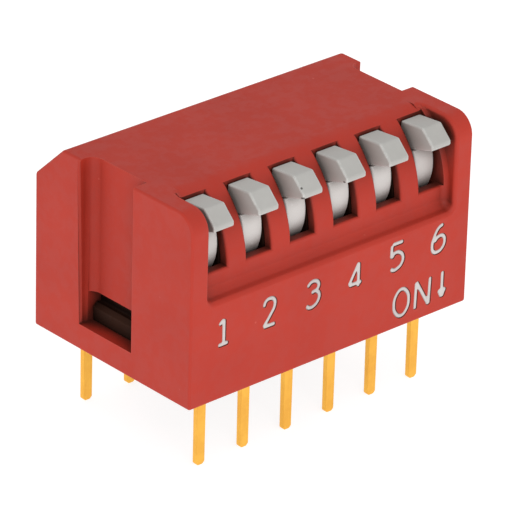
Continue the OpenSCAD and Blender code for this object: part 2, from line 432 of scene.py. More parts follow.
class Effects:
    """Shader node groups that several finishes share, each built once."""

    @staticmethod
    def _group(name: str, inputs: dict[str, tuple[str, float]], outputs: Sequence[str]
               ) -> tuple[bpy.types.NodeTree, Bench, bpy.types.Node, bpy.types.Node]:
        """Makes an empty group with its sockets.

        Args:
            name: Name of the group.
            inputs: Socket kind and default value by name.
            outputs: Names of the value outputs.

        Returns:
            The tree, its bench, the input node and the output node.
        """
        tree = bpy.data.node_groups.new(name, "ShaderNodeTree")
        for label, (kind, value) in inputs.items():
            socket = tree.interface.new_socket(label, in_out="INPUT", socket_type=kind)
            if kind == "NodeSocketFloat":
                socket.default_value = value
        for label in outputs:
            tree.interface.new_socket(label, in_out="OUTPUT", socket_type="NodeSocketFloat")
        bench = Bench(tree)
        return tree, bench, bench.add("NodeGroupInput"), bench.add("NodeGroupOutput")

    @classmethod
    def grain(cls) -> bpy.types.NodeTree:
        """Height of a moulded surface: a fine spark-eroded grain over a slow waviness.

        Returns:
            The group, built the first time that it is asked for.
        """
        if "moulded_grain" in bpy.data.node_groups:
            return bpy.data.node_groups["moulded_grain"]
        tree, bench, given, result = cls._group(
            "moulded_grain",
            {"Vector": ("NodeSocketVector", 0), "Coarse": ("NodeSocketFloat", 0.4)},
            ["Height"],
        )
        vector = given.outputs["Vector"]
        fine = bench.noise(vector, size=0.07, detail=3.0, rough=0.6)
        slow = bench.noise(vector, size=1.1)
        swell = bench.maths("MULTIPLY", slow, given.outputs["Coarse"])
        bench.tree.links.new(bench.maths("ADD", fine, swell), result.inputs["Height"])
        return tree

    @classmethod
    def drift(cls) -> bpy.types.NodeTree:
        """Slow uneven tone of a moulded or plated surface, from 0 to 1.

        Returns:
            The group, built the first time that it is asked for.
        """
        if "tone_drift" in bpy.data.node_groups:
            return bpy.data.node_groups["tone_drift"]
        tree, bench, given, result = cls._group(
            "tone_drift", {"Vector": ("NodeSocketVector", 0)}, ["Broad", "Mottle"]
        )
        vector = given.outputs["Vector"]
        broad = bench.span(bench.noise(vector, size=4.5, rough=0.55), 0.3, 0.7, 0.0, 1.0)
        mottle = bench.span(bench.noise(vector, size=0.6, detail=4.0, rough=0.62),
                            0.32, 0.68, 0.0, 1.0)
        bench.tree.links.new(broad, result.inputs["Broad"])
        bench.tree.links.new(mottle, result.inputs["Mottle"])
        return tree

    @classmethod
    def wear_and_highlight(cls) -> bpy.types.NodeTree:
        """Mask of the outer edges, made lighter both by rubbing and as a painted highlight, from 0
        to 1.

        Returns:
            The group, built the first time that it is asked for.
        """
        if "edge_wear_and_highlight" in bpy.data.node_groups:
            return bpy.data.node_groups["edge_wear_and_highlight"]
        tree, bench, given, result = cls._group(
            "edge_wear_and_highlight",
            {"Vector": ("NodeSocketVector", 0), "Reach": ("NodeSocketFloat", 0.0001)},
            ["Mask"],
        )
        rounded = bench.add("ShaderNodeBevel", {"samples": 4}, Radius=given.outputs["Reach"])
        plain = bench.add("ShaderNodeNewGeometry")
        match = bench.add("ShaderNodeVectorMath", {"operation": "DOT_PRODUCT"},
                          i0=rounded.outputs[0], i1=plain.outputs["Normal"])
        bent = bench.span(match.outputs["Value"], 0.995, 0.90, 0.0, 1.0)
        edge_break_noise = bench.noise(given.outputs["Vector"], size=0.3, detail=4.0, rough=0.65)
        broken = bench.span(edge_break_noise, 0.35, 0.6, 0.35, 1.0)
        bench.tree.links.new(bench.maths("MULTIPLY", bent, broken), result.inputs["Mask"])
        return tree

    @classmethod
    def hollow(cls) -> bpy.types.NodeTree:
        """Mask of inner corners and narrow gaps, where painted shade darkens the colour, from 0 to
        1.

        Returns:
            The group, built the first time that it is asked for.
        """
        if "hollow_shade" in bpy.data.node_groups:
            return bpy.data.node_groups["hollow_shade"]
        tree, bench, given, result = cls._group(
            "hollow_shade", {"Reach": ("NodeSocketFloat", 0.001)}, ["Mask"])
        open_sky = bench.add("ShaderNodeAmbientOcclusion", {"samples": 8},
                             Distance=given.outputs["Reach"])
        mask = bench.span(open_sky.outputs["AO"], 0.34, 0.98, 1.0, 0.0)
        bench.tree.links.new(mask, result.inputs["Mask"])
        return tree

    @classmethod
    def flecks(cls) -> bpy.types.NodeTree:
        """Mask of sparse small dust flecks, from 0 to 1.

        Returns:
            The group, built the first time that it is asked for.
        """
        if "dust_flecks" in bpy.data.node_groups:
            return bpy.data.node_groups["dust_flecks"]
        tree, bench, given, result = cls._group(
            "dust_flecks",
            {"Vector": ("NodeSocketVector", 0), "Share": ("NodeSocketFloat", 0.06)},
            ["Mask"],
        )
        spacing = 0.75 * MM
        cells = bench.add("ShaderNodeTexVoronoi", Vector=given.outputs["Vector"],
                          Scale=1 / spacing)
        dot = bench.span(cells.outputs["Distance"], 0.03, 0.10, 1.0, 0.0)
        luck = bench.add("ShaderNodeSeparateColor", i0=cells.outputs["Color"])
        chosen = bench.maths("LESS_THAN", luck.outputs[0], given.outputs["Share"])
        bench.tree.links.new(bench.maths("MULTIPLY", dot, chosen), result.inputs["Mask"])
        return tree


def use(bench: Bench, group: bpy.types.NodeTree, **sockets: object) -> bpy.types.Node:
    """Places a shared group in a material.

    Args:
        bench: The material's bench.
        group: The group.
        sockets: Values or sockets by input name.

    Returns:
        The group node.
    """
    node = bench.tree.nodes.new("ShaderNodeGroup")
    node.node_tree = group
    for key, value in sockets.items():
        if isinstance(value, bpy.types.NodeSocket):
            bench.tree.links.new(value, node.inputs[key])
        else:
            node.inputs[key].default_value = value
    return node


Colour = tuple[float, float, float, float]


@dataclass(frozen=True)
class Moulding:
    """A moulded plastic with grain, uneven tone, dust, outer edges made lighter both by rubbing
    and as a painted highlight, and painted shade in inner corners and gaps.

    Lengths are in millimetres. A speck is its centre and its radius. The tint below a given height
    is painted light, lighter than the plastic, and comes with the heights where it starts and
    where it is full.
    """

    name: str
    light: Colour
    dark: Colour
    rubbed_and_highlight: Colour
    roughness: tuple[float, float]
    broad: float = 0.65
    grain: float = 0.25
    grain_height: float = 0.012
    swell: float = 0.5
    wear_and_highlight: float = 0.5
    reach: float = 0.09
    dust: float = 0.03
    dust_depth: float = 0.7
    specular: float = 0.4
    # Painted shade: the tone that inner corners and gaps are darkened to, how far the darkening
    # looks and how strong it is.
    shade: Colour = (0.07, 0.012, 0.006, 1)
    shade_reach: float = 1.5
    shade_depth: float = 0.97
    painted_light_below: tuple[Colour, float, float] | None = None
    specks: tuple[tuple[float, float, float, float], ...] = ()
    speck_tone: Colour = (0.03, 0.025, 0.02, 1)
    speck_core: float = 0.55
    speck_depth: float = 0.85

    def material(self) -> bpy.types.Material:
        """Builds the material.

        Returns:
            The new material.
        """
        material = bpy.data.materials.new(self.name)
        material.use_nodes = True
        bench = Bench(material.node_tree)
        place = bench.add("ShaderNodeTexCoord").outputs["Object"]
        tone = use(bench, Effects.drift(), Vector=place)
        edge = use(bench, Effects.wear_and_highlight(), Vector=place, Reach=self.reach * MM)
        dust = use(bench, Effects.flecks(), Vector=place, Share=self.dust)
        height = use(bench, Effects.grain(), Vector=place, Coarse=self.swell)
        colour = bench.blend(bench.tone(tone, self.broad), self.dark, self.light)
        # Painted light: below a given height the colour turns to a lighter tint.
        if self.painted_light_below:
            tint, high, low = self.painted_light_below
            level = bench.add("ShaderNodeSeparateXYZ", i0=place).outputs[2]
            share = bench.span(level, low * MM, high * MM, 1.0, 0.0)
            colour = bench.blend(share, colour, tint)
        # Outer edges turn lighter, partly as worn rubbing and partly as a painted highlight.
        colour = bench.blend(bench.maths("MULTIPLY", edge.outputs["Mask"], self.wear_and_highlight),
                             colour, self.rubbed_and_highlight)
        colour = bench.blend(bench.maths("MULTIPLY", dust.outputs["Mask"], self.dust_depth),
                             colour, self.rubbed_and_highlight)
        # Painted shade: the colour darkens towards the shade tone where little open sky is seen,
        # in inner corners and gaps.
        hollow = use(bench, Effects.hollow(), Reach=self.shade_reach * MM)
        colour = bench.blend(bench.maths("MULTIPLY", hollow.outputs["Mask"], self.shade_depth),
                             colour, self.shade)
        for x, y, z, radius in self.specks:
            far = bench.add("ShaderNodeVectorMath", {"operation": "DISTANCE"}, i0=place,
                            i1=(x * MM, y * MM, z * MM)).outputs["Value"]
            spot = bench.span(far, radius * self.speck_core * MM, radius * MM,
                              self.speck_depth, 0.0)
            colour = bench.blend(spot, colour, self.speck_tone)
        gloss = bench.span(tone.outputs["Mottle"], 0.0, 1.0, *self.roughness)
        bump = bench.add("ShaderNodeBump", Strength=self.grain,
                         Distance=self.grain_height * MM, Height=height.outputs["Height"])
        shader = bench.add("ShaderNodeBsdfPrincipled", Base_Color=colour, Roughness=gloss,
                           Normal=bump.outputs["Normal"])
        shader.inputs["Specular IOR Level"].default_value = self.specular
        bench.add("ShaderNodeOutputMaterial", Surface=shader.outputs[0])
        return material


@dataclass(frozen=True)
class Plating:
    """A plated or bare metal with rolling marks along Z and a slow change of tone."""

    name: str
    light: Colour
    dark: Colour
    roughness: tuple[float, float]
    metallic: float = 1.0
    broad: float = 0.6
    lines: float = 0.3
    line_width: float = 0.05
    line_height: float = 0.004
    line_stretch: float = 0.06

    def material(self) -> bpy.types.Material:
        """Builds the material.

        Returns:
            The new material.
        """
        material = bpy.data.materials.new(self.name)
        material.use_nodes = True
        bench = Bench(material.node_tree)
        place = bench.add("ShaderNodeTexCoord").outputs["Object"]
        tone = use(bench, Effects.drift(), Vector=place)
        drawn = bench.add("ShaderNodeMapping", Vector=place, Scale=(1, 1, self.line_stretch))
        streak = bench.noise(drawn.outputs[0], self.line_width, detail=3.0, rough=0.6)
        colour = bench.blend(bench.tone(tone, self.broad), self.dark, self.light)
        gloss = bench.span(streak, 0.3, 0.7, *self.roughness)
        bump = bench.add("ShaderNodeBump", Strength=self.lines,
                         Distance=self.line_height * MM, Height=streak)
        shader = bench.add("ShaderNodeBsdfPrincipled", Base_Color=colour, Roughness=gloss,
                           Metallic=self.metallic, Normal=bump.outputs["Normal"])
        bench.add("ShaderNodeOutputMaterial", Surface=shader.outputs[0])
        return material


RED = Moulding("red_moulding", (0.51, 0.034, 0.016, 1), (0.455, 0.029, 0.014, 1),
               (0.58, 0.09, 0.06, 1), (0.52, 0.64), wear_and_highlight=0.35, dust=0.025, specular=0.35)
# Painted light: the red-brown cast of this black is red light from the cover, painted into its
# colour.
BLACK = Moulding("black_moulding", (0.046, 0.016, 0.008, 1), (0.030, 0.011, 0.006, 1),
                 (0.10, 0.05, 0.035, 1), (0.55, 0.66), wear_and_highlight=0.3, dust=0.03, specular=0.1,
                 shade=(0.006, 0.002, 0.001, 1), shade_reach=1.2, shade_depth=0.9)
# On the levers the lighter edges are a painted highlight, the dark tone in gaps is painted shade
# with red bounce light in it, and the paler tint low on the lever is painted light.
WHITE = Moulding("white_moulding", (0.50, 0.49, 0.465, 1), (0.45, 0.44, 0.415, 1),
                 (1.0, 1.0, 0.98, 1), (0.45, 0.58), grain=0.15, wear_and_highlight=1.0, reach=0.1,
                 dust=0.02, shade=(0.12, 0.075, 0.062, 1), shade_reach=1.2, shade_depth=0.66,
                 painted_light_below=((0.72, 0.69, 0.665, 1), 8.3, 7.5))
SPECKLED = {
    3: replace(WHITE, name="white_moulding_3",
               specks=((-1.76, -4.90, 8.54, 0.07), (-1.80, -5.06, 8.12, 0.11))),
    4: replace(WHITE, name="white_moulding_4", specks=((0.70, -4.95, 8.08, 0.09),)),
}
# Its pink shade tone is painted shade at the ink's edges, with red light from the cover in it.
INK = Moulding("white_ink", (0.66, 0.62, 0.60, 1), (0.50, 0.45, 0.44, 1),
               (0.85, 0.82, 0.81, 1), (0.5, 0.65), grain=0.4, wear_and_highlight=0.6, reach=0.05, dust=0.0,
               shade=(0.45, 0.30, 0.28, 1), shade_reach=0.15, shade_depth=0.6)
GOLD = Plating("gold_plate", (1.0, 0.56, 0.085, 1), (0.86, 0.43, 0.06, 1), (0.34, 0.48),
               metallic=0.85)
SPRING = Plating("contact_spring", (0.86, 0.66, 0.34, 1), (0.74, 0.54, 0.27, 1), (0.28, 0.4))


# ------------------------------------------------------------------ cover


@dataclass
class Cover:
    """Red cover: a chamfered box with a front recess, six slots, end grooves and windows.

    Every size is in millimetres, and every turn in degrees. A turn is the least that an edge makes
    where it is rounded. recess_front and recess_top say how far in front of the cover and above it
    the recess's tool is still rounded. brow_inset is how far short of the recess's end walls the
    brow stops, because a cut that goes further leaves an empty mesh.
    """

    low: Vector
    high: Vector
    lever_places: tuple[float, ...]
    chamfer_run: float = 1.85
    chamfer_drop: float = 1.75
    front_round: float = 1.0
    front_segments: int = 14
    outer_round: float = 0.12
    outer_turn: float = 25.0
    recess_depth: float = 0.6
    recess_side: float = 1.0
    recess_radius: float = 4.05
    recess_bend: float = 3.45
    ledge_drop: float = 4.45
    ledge_rise: float = 0.2
    recess_fillet: float = 0.3
    recess_turn: float = 30.0
    recess_front: float = 0.9
    recess_top: float = 0.55
    brow_radius: float = 1.2
    brow_inset: float = 0.31
    rim_round: float = 0.18
    rim_turn: float = 20.0
    slot_half: float = 0.71
    slot_drop: float = 3.3
    slot_back: float = -3.0
    slot_round: float = 0.13
    slot_segments: int = 3
    mouth_drop: float = 0.15
    groove_depth: float = 0.75
    groove_front: float = -1.35
    groove_back: float = 2.15
    groove_fillet: float = 0.5
    groove_segments: int = 8
    groove_rim: float = 0.2
    sill: float = 1.25
    window_height: float = 1.47
    window_inset: float = 0.05
    window_reach: float = 0.2
    cavity_front: float = -4.15
    cavity_back: float = 4.15
    cavity_end: float = 7.0
    roof: float = 0.9
    arch_back: float = 0.2
    arch_drop: float = 0.3
    obj: bpy.types.Object = field(init=False)

    @property
    def recess_y(self) -> float:
        """Y of the recess's upright face."""
        return self.low.y + self.recess_depth

    @property
    def arc_centre(self) -> tuple[float, float]:
        """(Y, Z) about which the recess is curved."""
        return self.recess_y + self.recess_radius, self.high.z - self.recess_bend

    def surface_gap(self, point: Vector) -> float:
        """Measures how far a point is from the recess's curved or upright face.

        Args:
            point: The point in millimetres.

        Returns:
            The distance in millimetres.
        """
        y, z = self.arc_centre
        if point.z < z:
            return abs(point.y - self.recess_y)
        return abs(math.hypot(point.y - y, point.z - z) - self.recess_radius)

    def build(self) -> None:
        """Models the whole cover."""
        self.obj = block("cover_shell", self.low, self.high)
        trim(self.obj, (0, self.high.y, self.high.z - self.chamfer_drop),
             (0, self.chamfer_drop, self.chamfer_run))
        top, front = self.high.z, self.low.y
        bevel(self.obj, lambda e: middle(e).z > top - NEAR and middle(e).y < front + NEAR
              and abs(middle(e).x) < NEAR, self.front_round, self.front_segments)
        bevel(self.obj, lambda e: turn(e) > self.outer_turn, self.outer_round)
        self._recess()
        for side in (-1, 1):
            self._groove(side)
        self._slots()
        self._inside()

    def _recess(self) -> None:
        """Cuts the recess with rounded inner corners, and softens its rim."""
        end = self.high.x - self.recess_side
        centre_y, centre_z = self.arc_centre
        ledge = self.high.z - self.ledge_drop
        tool = block("recess", (-end, self.low.y - PAST, ledge - PAST),
                     (end, centre_y, self.high.z + PAST))
        combine(tool, rod("drum", self.arc_centre, self.recess_radius, end + PAST), Join.CUT)
        combine(tool, block("wall", (-end - PAST, self.recess_y, 0),
                            (end + PAST, centre_y + PAST, centre_z)), Join.CUT)
        trim(tool, (0, self.low.y, ledge), (0, self.ledge_rise, -self.recess_depth))
        bevel(tool, lambda e: turn(e) > self.recess_turn
              and middle(e).y > self.low.y - self.recess_front
              and middle(e).z < self.high.z + self.recess_top, self.recess_fillet)
        combine(self.obj, tool, Join.CUT)
        brink = end - self.recess_fillet - NEAR
        bevel(self.obj, lambda e: turn(e) > self.rim_turn and abs(middle(e).x) < end + NEAR
              and self._on_skin(middle(e))
              and not (middle(e).z > self.high.z - NEAR and abs(middle(e).x) < brink),
              self.rim_round)
        combine(self.obj, self._brow(end - self.brow_inset), Join.CUT)

    def _brow(self, end: float) -> bpy.types.Object:
        """Models what is cut away to round the top into the recess's curve.

        Args:
            end: Half of its length along X.

        Returns:
            The piece between the sharp edge and the rounding.
        """
        y, z = self.arc_centre
        radius, drop = self.brow_radius, self.high.z - self.brow_radius
        reach = math.sqrt((self.recess_radius - radius) ** 2 - (drop - z) ** 2)
        share = self.recess_radius / (self.recess_radius - radius)
        piece = block("brow", (-end, y - reach * share, z + (drop - z) * share - WELD),
                      (end, y - reach, self.high.z + PAST))
        combine(piece, rod("round", (y - reach, drop), radius, end + PAST, SMALL_SIDES),
                Join.CUT)
        return piece

    def _on_skin(self, point: Vector) -> bool:
        """Tells whether a point lies on the top, the front or the round between them.

        Args:
            point: The point in millimetres.

        Returns:
            True for a point on that skin and above the sill.
        """
        y, z = self.low.y + self.front_round, self.high.z - self.front_round
        if point.y < y and point.z > z:
            return abs(math.hypot(point.y - y, point.z - z) - self.front_round) < 4 * NEAR
        on_front = point.y < self.low.y + NEAR and point.z > self.sill
        return on_front or point.z > self.high.z - NEAR

    def _groove(self, side: int) -> None:
        """Cuts the groove and the snap window of one end.

        Args:
            side: -1 for the end at lever 1, or 1 for the other.
        """
        outer = side * (self.high.x + PAST)
        floor = side * (self.high.x - self.groove_depth)
        inner = side * (self.cavity_end - self.window_reach)
        tool = block("groove", (min(outer, floor), self.groove_front, self.sill),
                     (max(outer, floor), self.groove_back, self.high.z + PAST))
        bevel(tool, lambda e: abs(middle(e).x - floor) < NEAR
              and abs(middle(e).y - self.groove_back) < NEAR,
              self.groove_fillet, self.groove_segments)
        combine(self.obj, tool, Join.CUT)
        face = side * self.high.x
        bevel(self.obj, lambda e: turn(e) > SHARP and abs(middle(e).x - face) < NEAR
              and abs(middle(e).y - self.groove_back) < NEAR, self.groove_rim)
        window = block("window", (min(face, inner), self.groove_front, self.sill),
                       (max(face, inner), self.groove_back - self.window_inset,
                        self.sill + self.window_height))
        combine(self.obj, window, Join.CUT)

    def _slots(self) -> None:
        """Cuts the lever slots and softens their mouths."""
        for place in self.lever_places:
            tool = block("slot", (place - self.slot_half, self.low.y - PAST,
                                  self.high.z - self.slot_drop),
                         (place + self.slot_half, self.slot_back, self.high.z + PAST))
            combine(self.obj, tool, Join.CUT)
        inner_end = max(self.lever_places) + self.slot_half - NEAR

        def mouth(edge: bmesh.types.BMEdge) -> bool:
            """Tells whether an edge is part of a slot's mouth.

            Args:
                edge: The edge.

            Returns:
                True for an edge of a mouth's front, sides or floor.
            """
            point = middle(edge)
            return (turn(edge) > SHARP and abs(point.x) < inner_end
                    and abs(point.y - self.slot_back) > NEAR
                    and point.z > self.high.z - self.slot_drop - NEAR
                    and point.z < self.high.z - self.mouth_drop
                    and self.surface_gap(point) < 3 * NEAR)

        bevel(self.obj, mouth, self.slot_round, self.slot_segments)

    def _inside(self) -> None:
        """Cuts the cavity that the base fills."""
        ceiling = self.high.z - self.roof
        centre_y, centre_z = self.arc_centre
        tool = prism("cavity", [
            (centre_y, -PAST), (centre_y, ceiling),
            (self.cavity_back - self.chamfer_run, ceiling),
            (self.cavity_back, ceiling - self.chamfer_drop), (self.cavity_back, -PAST),
        ], self.cavity_end)
        combine(tool, block("cavity_front", (-self.cavity_end, self.cavity_front, -PAST),
                            (self.cavity_end, centre_y, centre_z)), Join.FUSE)
        arch = rod("cavity_arch", self.arc_centre, centre_y - self.cavity_front,
                   self.cavity_end)
        trim(arch, (0, 0, ceiling), (0, 0, 1))
        trim(arch, (0, centre_y + self.arch_back, 0), (0, 1, 0))
        trim(arch, (0, 0, centre_z - self.arch_drop), (0, 0, -1))
        combine(tool, arch, Join.FUSE)
        combine(self.obj, tool, Join.CUT)

    def dress(self, material: bpy.types.Material) -> None:
        """Finishes the cover's mesh and installs it."""
        complete(self.obj)
        install(self.obj, HOUSING, Slot.RED, material, "cover")


# ------------------------------------------------------------------ marks


@dataclass(frozen=True)
class Stroke:
    """One pen stroke of a mark, as shares of the mark's width and height."""

    points: tuple[tuple[float, float], ...]
    curved: bool = False
    closed: bool = False

    def parts(self) -> list["Stroke"]:
        """Splits a stroke with corners into straight ones, and leaves a curved one whole.

        Returns:
            The strokes that are drawn in its place.
        """
        if self.curved:
            return [self]
        return [Stroke(pair) for pair in zip(self.points, self.points[1:])]


@dataclass(frozen=True)
class Glyph:
    """A mark on the front face: its name, middle, size and strokes."""

    name: str
    x: float
    z: float
    width: float
    height: float
    strokes: tuple[Stroke, ...]


GLYPHS = (
    Glyph("one", -6.31, 3.24, 0.80, 1.40, (
        Stroke(((0.08, 0.80), (0.56, 1.0), (0.56, 0.0))), Stroke(((0.0, 0.0), (1.0, 0.0))))),
    Glyph("two", -3.66, 3.32, 0.89, 1.50, (
        Stroke(((0.0, 0.74), (0.14, 0.93), (0.5, 1.0), (0.88, 0.9), (0.92, 0.68),
                (0.55, 0.36), (0.0, 0.0)), curved=True),
        Stroke(((0.0, 0.0), (1.0, 0.0))))),
    Glyph("three", -1.14, 3.37, 0.96, 1.42, (
        Stroke(((0.04, 0.84), (0.28, 0.97), (0.6, 1.0), (0.92, 0.86), (0.86, 0.66),
                (0.36, 0.55)), curved=True),
        Stroke(((0.72, 0.62), (0.98, 0.44), (0.93, 0.18), (0.58, 0.0), (0.2, 0.0),
                (0.0, 0.12)), curved=True))),
    Glyph("four", 1.37, 3.46, 0.97, 1.40, (
        Stroke(((0.74, 0.0), (0.74, 1.0), (0.0, 0.17), (1.0, 0.17))),)),
    Glyph("five", 3.85, 3.62, 0.92, 1.46, (
        Stroke(((1.0, 1.0), (0.06, 1.0), (0.02, 0.48))),
        Stroke(((0.02, 0.48), (0.3, 0.64), (0.7, 0.62), (1.0, 0.42), (0.92, 0.16),
                (0.5, 0.0), (0.15, 0.0), (0.0, 0.1)), curved=True))),
    Glyph("six", 6.37, 3.69, 0.96, 1.50, (
        Stroke(((0.86, 1.0), (0.5, 0.92), (0.16, 0.64), (0.0, 0.32), (0.12, 0.06), (0.45, 0.0),
                (0.82, 0.1), (1.0, 0.34), (0.84, 0.56), (0.5, 0.58), (0.12, 0.42)),
               curved=True),)),
    Glyph("letter_o", 4.23, 1.21, 1.10, 1.52, (
        Stroke(((0.5, 0.0), (0.12, 0.18), (0.0, 0.5), (0.14, 0.84), (0.5, 1.0), (0.88, 0.82),
                (1.0, 0.5), (0.86, 0.16)), curved=True, closed=True),)),
    Glyph("letter_n", 5.52, 1.26, 1.08, 1.56, (
        Stroke(((0.0, 0.0), (0.04, 1.0), (0.94, 0.0), (1.0, 1.0))),)),
    Glyph("arrow", 6.71, 1.33, 0.62, 1.50, (
        Stroke(((0.5, 1.0), (0.5, 0.1))), Stroke(((0.0, 0.33), (0.5, 0.0), (1.0, 0.33))),
        Stroke(((0.2, 0.36), (0.5, 0.16), (0.8, 0.36))))),
)


@dataclass
class Marks:
    """White marks stamped into the cover's front face.

    pen, groove, sunk, voxel and weld are in millimetres, and tip, taper and flat are shares.
    """

    face_y: float
    pen: float = 0.20
    groove: float = 0.235
    sunk: float = 0.008
    voxel: float = 0.024
    weld: float = 0.0001
    tip: float = 0.35
    taper: float = 0.55
    flat: float = 0.55
    smooth: float = 60.0
    curve_steps: int = 6
    bead_steps: int = 3
    inlays: list[bpy.types.Object] = field(default_factory=list)

    def _line(self, glyph: Glyph, stroke: Stroke, pen: float) -> bpy.types.Object:
        """Draws one stroke as a round bead along a curve in the front face.

        Args:
            glyph: The mark that the stroke belongs to.
            stroke: The stroke.
            pen: Diameter of the bead in millimetres.

        Returns:
            The bead as a mesh object.
        """
        bpy.ops.object.select_all(action="DESELECT")
        bpy.ops.curve.primitive_bezier_curve_add()
        obj = bpy.context.active_object
        curve = obj.data
        curve.splines.clear()
        spline = curve.splines.new("BEZIER")
        wide, tall = glyph.width - self.pen, glyph.height - self.pen
        points = [Vector((glyph.x + (u - 0.5) * wide, self.face_y, glyph.z + (v - 0.5) * tall))
                  for u, v in stroke.points]
        radii = [1.0] * len(points)
        if not stroke.closed:
            near = self.tip * self.pen
            first = points[0] + (points[1] - points[0]).normalized() * near
            last = points[-1] + (points[-2] - points[-1]).normalized() * near
            points = [points[0], first, *points[1:-1], last, points[-1]]
            radii = [self.taper, *([1.0] * (len(points) - 2)), self.taper]
        spline.bezier_points.add(len(points) - 1)
        for knot, point, radius in zip(spline.bezier_points, points, radii):
            knot.co, knot.radius = point, radius
            knot.handle_left_type = knot.handle_right_type = (
                "AUTO" if stroke.curved else "VECTOR")
        spline.use_cyclic_u = stroke.closed
        curve.dimensions = "3D"
        curve.resolution_u = self.curve_steps if stroke.curved else 1
        curve.bevel_depth, curve.bevel_resolution = pen / 2, self.bead_steps
        curve.use_fill_caps = True
        bpy.ops.object.convert(target="MESH")
        return settle(bpy.context.active_object, "bead")

    def _beads(self, glyph: Glyph, pen: float) -> bpy.types.Object:
        """Melts all the strokes of one mark into one closed bead.

        Args:
            glyph: The mark.
            pen: Diameter of the bead in millimetres.

        Returns:
            The bead as a mesh object.
        """
        strokes = [part for stroke in glyph.strokes for part in stroke.parts()]
        beads = [self._line(glyph, stroke, pen) for stroke in strokes]
        only(beads[0])
        for bead in beads[1:]:
            bead.select_set(True)
        if len(beads) > 1:
            bpy.ops.object.join()
        bpy.ops.object.modifier_add(type="REMESH")
        remesh = beads[0].modifiers[-1]
        remesh.mode, remesh.voxel_size = "VOXEL", self.voxel
        bpy.ops.object.modifier_apply(modifier=remesh.name)
        return beads[0]

    def build(self, cover: bpy.types.Object) -> None:
        """Stamps the grooves into the cover and lays an inlay in each.

        Args:
            cover: The cover's mesh object.
        """
        grooves = [self._beads(glyph, self.groove) for glyph in GLYPHS]
        only(grooves[0])
        for groove in grooves[1:]:
            groove.select_set(True)
        bpy.ops.object.join()
        combine(cover, grooves[0], Join.CUT, self.weld)
        centre_y = self.face_y * (1 - self.flat) + self.sunk + self.flat * self.pen / 2
        for glyph in GLYPHS:
            inlay = self._beads(glyph, self.pen)
            inlay.scale = (1, self.flat, 1)
            inlay.location = (0, centre_y, 0)
            self.inlays.append(settle(inlay, f"mark_{glyph.name}"))

    def dress(self, material: bpy.types.Material) -> None:
        """Finishes the inlays and installs them.

        Args:
            material: Their material.
        """
        for inlay in self.inlays:
            complete(inlay, self.smooth, weighted=False)
            install(inlay, HOUSING, Slot.INK, material)


# ------------------------------------------------------------------ base and terminals


@dataclass
class Base:
    """Black base with its partitions, posts and lugs, softened only at its ends, past inside."""

    edge: float = 0.03
    segments: int = 2
    inside: float = 7.0

    def build(self, material: bpy.types.Material) -> None:
        """Softens a copy of the CAD base and installs it.

        Args:
            material: Its material.
        """
        obj = adopt("base", "base_moulding")
        bevel(obj, lambda e: e.is_manifold and turn(e) > SHARP
              and abs(middle(e).x) > self.inside, self.edge, self.segments)
        complete(obj)
        install(obj, HOUSING, Slot.BLACK, material, "base")


@dataclass
class Terminals:
    """Two rows of flat gold-plated pins, softened below the height top."""

    count: int
    edge: float = 0.035
    segments: int = 3
    top: float = 0.6

    def build(self, material: bpy.types.Material) -> None:
        """Softens a copy of each CAD terminal and installs it.

        Args:
            material: Their material.
        """
        for row in ("front", "back"):
            for number in range(1, self.count + 1):
                node = f"{row}_terminal_{number}"
                obj = adopt(node, f"{row}_pin_{number}")
                bevel(obj, lambda e: e.is_manifold and turn(e) > SHARP
                      and middle(e).z < self.top, self.edge, self.segments)
                complete(obj)
                install(obj, HOUSING, Slot.GOLD, material, node)


# ------------------------------------------------------------------ levers


